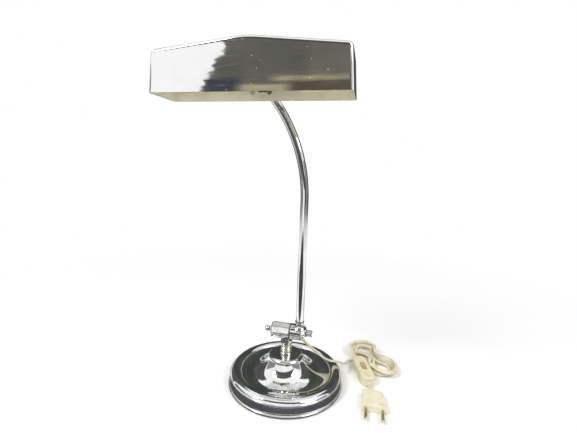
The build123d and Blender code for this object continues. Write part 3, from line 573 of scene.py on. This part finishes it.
# mouldings, paint and fibre
mouldings = {
    "creamPaint": {
        "nodes": ["holder_strip", "holder_rivets", "holder_nut"],
        "light": (0.80, 0.77, 0.60),
        "dark": (0.66, 0.62, 0.44),
        "stain": (0.42, 0.36, 0.20),
        "rough": (0.3, 0.5),
        "cloud": 30,
        "specks": 240,
        "peel": 700,
        "peelDepth": 1.2e-5,
    },
    "ivoryShell": {
        "nodes": ["switch_base", "switch_cover", "switch_screws"],
        "light": (0.80, 0.75, 0.55),
        "dark": (0.68, 0.60, 0.38),
        "stain": (0.36, 0.28, 0.14),
        "rough": (0.28, 0.46),
        "cloud": 90,
        "specks": 520,
        "peel": 1500,
        "peelDepth": 6e-6,
    },
    "ivoryPlug": {
        "nodes": ["plug_body"],
        "light": (0.82, 0.77, 0.60),
        "dark": (0.70, 0.63, 0.44),
        "stain": (0.38, 0.31, 0.18),
        "rough": (0.3, 0.5),
        "cloud": 80,
        "specks": 480,
        "peel": 1200,
        "peelDepth": 8e-6,
    },
    "tanSlider": {
        "nodes": ["switch_slider"],
        "light": (0.66, 0.50, 0.27),
        "dark": (0.52, 0.37, 0.18),
        "stain": (0.24, 0.16, 0.08),
        "rough": (0.25, 0.45),
        "cloud": 200,
        "specks": 700,
        "peel": 1600,
        "peelDepth": 8e-6,
    },
    "bakelite": {
        "nodes": ["holder_body", "holder_ring", "cord_bush"],
        "light": (0.045, 0.030, 0.022),
        "dark": (0.018, 0.013, 0.010),
        "stain": (0.10, 0.085, 0.065),
        "rough": (0.22, 0.42),
        "cloud": 120,
        "specks": 600,
        "peel": 1300,
        "peelDepth": 8e-6,
    },
    "greyFibre": {
        "nodes": ["friction_washer"],
        "light": (0.40, 0.37, 0.35),
        "dark": (0.28, 0.25, 0.24),
        "stain": (0.05, 0.03, 0.025),
        "rough": (0.5, 0.75),
        "cloud": 300,
        "specks": 900,
        "peel": 2200,
        "peelDepth": 2e-5,
    },
    "leadSheath": {
        "nodes": ["arm_lead"],
        "light": (0.72, 0.67, 0.50),
        "dark": (0.58, 0.52, 0.36),
        "stain": (0.30, 0.24, 0.14),
        "rough": (0.4, 0.6),
        "cloud": 120,
        "specks": 500,
        "peel": 1200,
        "peelDepth": 1e-5,
    },
    "greenFelt": {
        "nodes": ["base_felt"],
        "light": (0.055, 0.085, 0.055),
        "dark": (0.022, 0.040, 0.026),
        "stain": (0.012, 0.016, 0.012),
        "rough": (0.85, 1.0),
        "cloud": 60,
        "specks": 400,
        "peel": 2600,
        "peelDepth": 2.5e-4,
    },
}
# where the noise starts and stops acting on every moulding
mouldedWear = {
    "tones": (0.34, 0.62),
    "speck": (0.06, 0.2),
    "speckStrength": 0.7,
    "speckPatches": (0.52, 0.64),
    "cloudGloss": 0.7,
    "peelGloss": 0.3,
}


def mouldedFinish(name, look):
    material, tree, shader, place = startMaterial(name)
    cloud = noiseOf(tree, place, look["cloud"], 5.0, 0.6)
    peel = noiseOf(tree, place, look["peel"], 2.0)
    cells = voronoiOf(tree, place, look["specks"])
    near = spread(tree, cells, mouldedWear["speckStrength"], 0, *mouldedWear["speck"])
    patchy = spread(tree, cloud, 0, 1, *mouldedWear["speckPatches"])
    dirt = combined(tree, "MULTIPLY", near, patchy)
    tone = ramped(tree, cloud, list(zip(mouldedWear["tones"], (look["dark"], look["light"]))))
    tree.links.new(layered(tree, dirt, tone, look["stain"]), shader.inputs["Base Color"])
    broad = spread(tree, cloud, 0, mouldedWear["cloudGloss"])
    gloss = combined(tree, "ADD", broad, spread(tree, peel, 0, mouldedWear["peelGloss"]))
    tree.links.new(spread(tree, gloss, *look["rough"], 0, 1), shader.inputs["Roughness"])
    bumped(tree, shader, combined(tree, "MULTIPLY", peel, look["peelDepth"]))
    for node in look["nodes"]:
        dress(node, material)
    return material


def dress(node, material):
    slots = nodes[node].data.materials
    slots.clear()
    slots.append(material)


finish = {name: metalFinish(name, look) for name, look in metals.items()}
finish.update({name: mouldedFinish(name, look) for name, look in mouldings.items()})

# opal glass of the tube bulb
bulbGlass = {
    "color": (0.94, 0.93, 0.89),
    "warmth": (0.9, 0.9, 0.8),  # the colour is dimmed by this where it has browned
    "tones": (0.3, 0.6),
    "transmission": 0.55,
    "ior": 1.5,
    "mottle": 90,
    "depth": 1e-5,
    "rough": (0.22, 0.4),
}


def glassFinish(look):
    material, tree, shader, place = startMaterial("opalGlass")
    mottle = noiseOf(tree, place, look["mottle"], 4.0)
    warm = tuple(share * c for share, c in zip(look["warmth"], look["color"]))
    tone = ramped(tree, mottle, list(zip(look["tones"], (warm, look["color"]))))
    tree.links.new(tone, shader.inputs["Base Color"])
    tree.links.new(spread(tree, mottle, *look["rough"]), shader.inputs["Roughness"])
    bumped(tree, shader, combined(tree, "MULTIPLY", mottle, look["depth"]))
    shader.inputs["Transmission Weight"].default_value = look["transmission"]
    shader.inputs["IOR"].default_value = look["ior"]
    dress("bulb_glass", material)


glassFinish(bulbGlass)


# the shade is chromed outside and painted inside, where faces look at a point below its middle
paintDrop = 0.008


def paintInside(node, middle):
    mesh = nodes[node].data
    mesh.materials.append(finish["creamPaint"])
    for face in mesh.polygons:
        if face.normal.dot(middle - face.center) > 0:
            face.material_index = 1


low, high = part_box("shade_shell")
paintInside("shade_shell", (Vector(low) + Vector(high)) / 2 - Vector((0, 0, paintDrop)))

# yellowed twin flex, its UV runs along the cord in centimetres and round it from 0 to 1
flexLook = {
    "light": (0.80, 0.75, 0.57),
    "dark": (0.66, 0.59, 0.40),
    "tones": (0.35, 0.6),
    "cloud": 70,
    "streak": (0.6, 14, 1),
    "grime": (0.34, 0.28, 0.18),
    "grimeStreaks": (0.5, 0.72),
    "grimeStrength": 0.8,
    "rough": (0.3, 0.55),
    "depth": 4e-5,
}


def flexFinish(look):
    material, tree, shader, place = startMaterial("twinFlex")
    uv = tree.nodes.new("ShaderNodeUVMap")
    uv.uv_map = "along"
    streak = noiseOf(tree, stretched(tree, uv.outputs["UV"], look["streak"]), 1.0, 3.0)
    cloud = noiseOf(tree, place, look["cloud"], 4.0, 0.6)
    tone = ramped(tree, cloud, list(zip(look["tones"], (look["dark"], look["light"]))))
    smear = spread(tree, streak, 0, look["grimeStrength"], *look["grimeStreaks"])
    grime = combined(tree, "MULTIPLY", smear, spread(tree, cloud, 1, 0))
    tree.links.new(layered(tree, grime, tone, look["grime"]), shader.inputs["Base Color"])
    tree.links.new(spread(tree, streak, *look["rough"]), shader.inputs["Roughness"])
    bumped(tree, shader, combined(tree, "MULTIPLY", streak, look["depth"]))
    return material


cord.data.materials.append(flexFinish(flexLook))
print("finishes set")

# floor, light and what the chrome mirrors
studio = {
    "floorSize": 30.0,
    "floorColor": (0.93, 0.93, 0.93, 1),
    "floorRough": 0.9,
    "fadeFrom": 0.2,  # metres from the lamp where the floor starts to turn white
    "fadeTo": 0.8,
    "dimFrom": 0.75,  # the floor as the chrome sees it grows darker from here
    "dimTo": 1.7,
    "dimTone": (0.30, 0.30, 0.30),
    "fill": 0.68,
}


def seenAsWhite(tree):  # 1 for rays from the camera, from metal and through glass
    path = tree.nodes.new("ShaderNodeLightPath")
    metal = combined(tree, "MAXIMUM", path.outputs["Is Camera Ray"], path.outputs["Is Glossy Ray"])
    return combined(tree, "MAXIMUM", metal, path.outputs["Is Transmission Ray"])


def addFloor():
    bpy.ops.object.select_all(action="DESELECT")
    bpy.ops.mesh.primitive_plane_add(size=studio["floorSize"])
    floor = bpy.context.object
    floor.name = "floor"
    material, tree, shader, place = startMaterial("paleFloor")
    shader.inputs["Base Color"].default_value = studio["floorColor"]
    shader.inputs["Roughness"].default_value = studio["floorRough"]
    shader.inputs["Specular IOR Level"].default_value = 0.0
    reach = tree.nodes.new("ShaderNodeVectorMath")
    reach.operation = "LENGTH"
    tree.links.new(place, reach.inputs[0])
    far = spread(tree, reach.outputs["Value"], 0, 1, studio["fadeFrom"], studio["fadeTo"])
    white = tree.nodes.new("ShaderNodeEmission")
    path = tree.nodes.new("ShaderNodeLightPath")
    distant = spread(tree, reach.outputs["Value"], 0, 1, studio["dimFrom"], studio["dimTo"])
    dim = combined(tree, "MULTIPLY", distant, path.outputs["Is Glossy Ray"])
    tree.links.new(layered(tree, dim, (1.0, 1.0, 1.0), studio["dimTone"]), white.inputs["Color"])
    mix = tree.nodes.new("ShaderNodeMixShader")
    tree.links.new(combined(tree, "MULTIPLY", far, seenAsWhite(tree)), mix.inputs[0])
    tree.links.new(shader.outputs[0], mix.inputs[1])
    tree.links.new(white.outputs[0], mix.inputs[2])
    tree.links.new(mix.outputs[0], tree.nodes["Material Output"].inputs["Surface"])
    floor.data.materials.append(material)


def addWorld():
    world = bpy.data.worlds.new("studioWorld")
    world.use_nodes = True
    bpy.context.scene.world = world
    tree = world.node_tree
    tree.nodes.clear()
    mix = tree.nodes.new("ShaderNodeMixShader")
    out = tree.nodes.new("ShaderNodeOutputWorld")
    tree.links.new(seenAsWhite(tree), mix.inputs[0])
    for socket, strength in ((mix.inputs[1], studio["fill"]), (mix.inputs[2], 1.0)):
        glow = tree.nodes.new("ShaderNodeBackground")
        glow.inputs["Color"].default_value = (1, 1, 1, 1)
        glow.inputs["Strength"].default_value = strength
        tree.links.new(glow.outputs[0], socket)
    tree.links.new(mix.outputs[0], out.inputs["Surface"])


# dark and white cards round the set, seen only in the chrome: corner, width and height in metres
flags = {
    "frontFlag": {
        "corner": (-0.95, -1.5, 0.02),
        "wide": (2.1, 0, 0),
        "tall": (0, 0, 0.91),
        "tone": (0.135, 0.132, 0.115),
        "ragged": True,
        "about": (-0.04, -0.065, 0.383),  # moved out from the shade's middle
        "times": 6.92,
    },
    "lowFlag": {
        "corner": (-2.2, -1.52, 0.0),
        "wide": (4.4, 0, 0),
        "tall": (0, 0, 0.5),
        "tone": (0.10, 0.10, 0.095),
    },
    "highFlag": {
        "corner": (-0.75, -0.75, 0.68),
        "wide": (2.0, 0, 0),
        "tall": (0, 0, 1.1),
        "tone": (0.12, 0.105, 0.095),
    },
    "backFlag": {
        "corner": (-1.4, 1.5, 0.0),
        "wide": (2.8, 0, 0),
        "tall": (0, 0, 2.15),
        "tone": (0.075, 0.082, 0.075),
    },
    "leftFlag": {
        "corner": (-1.3, 0.25, 0.0),
        "wide": (0, 1.25, 0),
        "tall": (0, 0, 2.0),
        "tone": (0.11, 0.115, 0.11),
    },
    "rightFlag": {
        "corner": (1.3, 0.25, 0.0),
        "wide": (0, 1.25, 0),
        "tall": (0, 0, 2.0),
        "tone": (0.11, 0.11, 0.105),
    },
    "leftLowFlag": {
        "corner": (-1.6, -1.3, 0.0),
        "wide": (0, 1.5, 0),
        "tall": (0, 0, 0.8),
        "tone": (0.34, 0.34, 0.33),
    },
    "rightLowFlag": {
        "corner": (1.6, -1.3, 0.0),
        "wide": (0, 1.5, 0),
        "tall": (0, 0, 0.8),
        "tone": (0.30, 0.30, 0.30),
    },
    "ceilingFlag": {
        "corner": (-0.9, 0.2, 2.2),
        "wide": (1.8, 0, 0),
        "tall": (0, 1.3, 0),
        "tone": (0.9, 0.9, 0.9),
    },
    "farTableFlag": {
        "corner": (-0.45, 0.15, 0.0003),
        "wide": (0.7, 0, 0),
        "tall": (0, 1.35, 0),
        "tone": (0.12, 0.12, 0.115),
    },
    "whiteCard": {
        "corner": (-0.22, -0.36, 0.14),
        "wide": (0.30, 0, 0),
        "tall": (0, 0, 0.10),
        "tone": (1.3, 1.3, 1.3),
    },
    "tableFlag": {
        "corner": (-0.12, -0.145, 0.0003),
        "wide": (0.215, 0, 0),
        "tall": (0, 0.265, 0),
        "tone": (0.10, 0.10, 0.115),
    },
    "nearTableFlag": {
        "corner": (-0.42, -1.0, 0.0003),
        "wide": (0.84, 0, 0),
        "tall": (0, 0.815, 0),
        "tone": (0.085, 0.085, 0.08),
    },
}
# every flag is clouded, and the front one has a frayed left edge
flagCloud = {"scale": 3.0, "tones": (0.3, 0.7), "dimTo": 0.6}
frayed = {
    "streak": (2, 2, 16),
    "slope": -0.55,
    "depth": 0.22,
    "cut": (-1.035, -1.03),
    "patchSoft": (0.03, 0.004),
    "patchLeast": 0.35,
}
# warm and blue patches on the front flag: left, right, bottom, top in metres
patches = [
    ((-0.30, 0.34, 0.60, 1.1), (0.175, 0.165, 0.135)),
    ((0.36, 0.62, 0.60, 1.1), (0.062, 0.066, 0.088)),
    ((-0.36, 0.30, 0.60, 0.722), (0.085, 0.064, 0.040)),
    ((0.425, 0.45, 0.82, 0.88), (0.85, 0.83, 0.76)),
    ((-0.60, -0.38, 0.60, 0.706), (0.55, 0.46, 0.30)),
    ((-0.44, -0.10, 0.722, 0.740), (0.46, 0.39, 0.27)),
    ((-0.80, -0.60, 0.60, 0.735), (0.026, 0.028, 0.060)),
]


def within(tree, value, low, high, soft):  # 1 between low and high
    rise = spread(tree, value, 0, 1, low - soft, low + soft)
    return combined(tree, "MULTIPLY", rise, spread(tree, value, 1, 0, high - soft, high + soft))


def fray(tree, place, tone, surface):  # the patched tone, and the surface cut along a ragged line
    split = tree.nodes.new("ShaderNodeSeparateXYZ")
    tree.links.new(place, split.inputs[0])
    x, z = split.outputs["X"], split.outputs["Z"]
    streaks = noiseOf(tree, stretched(tree, place, frayed["streak"]), 1.0, 4.0, 0.65)
    sideSoft, endSoft = frayed["patchSoft"]
    for (left, right, bottom, top), color in patches:
        across = within(tree, x, left, right, sideSoft)
        inside = combined(tree, "MULTIPLY", across, within(tree, z, bottom, top, endSoft))
        streaked = spread(tree, streaks, frayed["patchLeast"], 1)
        tone = layered(tree, combined(tree, "MULTIPLY", inside, streaked), tone, color)
    slope = combined(tree, "MULTIPLY", z, frayed["slope"])
    ragged = combined(tree, "MULTIPLY", streaks, frayed["depth"])
    edge = combined(tree, "ADD", combined(tree, "ADD", x, slope), ragged)
    clear = tree.nodes.new("ShaderNodeBsdfTransparent")
    mix = tree.nodes.new("ShaderNodeMixShader")
    tree.links.new(spread(tree, edge, 0, 1, *frayed["cut"]), mix.inputs[0])
    tree.links.new(clear.outputs[0], mix.inputs[1])
    tree.links.new(surface, mix.inputs[2])
    return tone, mix.outputs[0]


def addFlag(name, flag):
    corner, wide, tall = (Vector(flag[k]) for k in ("corner", "wide", "tall"))
    bpy.ops.object.select_all(action="DESELECT")
    bpy.ops.mesh.primitive_plane_add(size=1)
    sheet = bpy.context.object
    sheet.name = name
    for vertex in sheet.data.vertices:
        vertex.co = corner + wide * (vertex.co.x + 0.5) + tall * (vertex.co.y + 0.5)
    material, tree, shader, place = startMaterial(name)
    cloud = noiseOf(tree, place, flagCloud["scale"], 4.0, 0.6)
    dim = tuple(flagCloud["dimTo"] * c for c in flag["tone"])
    tone = ramped(tree, cloud, list(zip(flagCloud["tones"], (dim, flag["tone"]))))
    glow = tree.nodes.new("ShaderNodeEmission")
    surface = glow.outputs[0]
    if flag.get("ragged"):
        tone, surface = fray(tree, place, tone, surface)
    tree.links.new(tone, glow.inputs["Color"])
    tree.links.new(surface, tree.nodes["Material Output"].inputs["Surface"])
    sheet.data.materials.append(material)
    if "times" in flag:
        sheet.scale = (flag["times"],) * 3
        sheet.location = Vector(flag["about"]) * (1 - flag["times"])
    sheet.visible_camera = False
    sheet.visible_diffuse = False
    sheet.visible_shadow = False
    sheet.visible_transmission = False


lamps = {
    "keyLamp": {"place": (-0.9, -0.9, 1.5), "aim": (0, 0, 0.2), "size": 0.7, "power": 17},
    "fillLamp": {"place": (1.1, -0.5, 1.2), "aim": (0, 0, 0.2), "size": 0.8, "power": 8},
}


def addLamp(name, look):
    data = bpy.data.lights.new(name, "AREA")
    data.shape = "DISK"
    data.size = look["size"]
    data.energy = look["power"]
    lamp = bpy.data.objects.new(name, data)
    bpy.context.scene.collection.objects.link(lamp)
    lamp.location = look["place"]
    beam = Vector(look["aim"]) - Vector(look["place"])
    lamp.rotation_euler = beam.to_track_quat("-Z", "Y").to_euler()


addFloor()
addWorld()
for name, flag in flags.items():
    addFlag(name, flag)
for name, look in lamps.items():
    addLamp(name, look)
print("studio set")
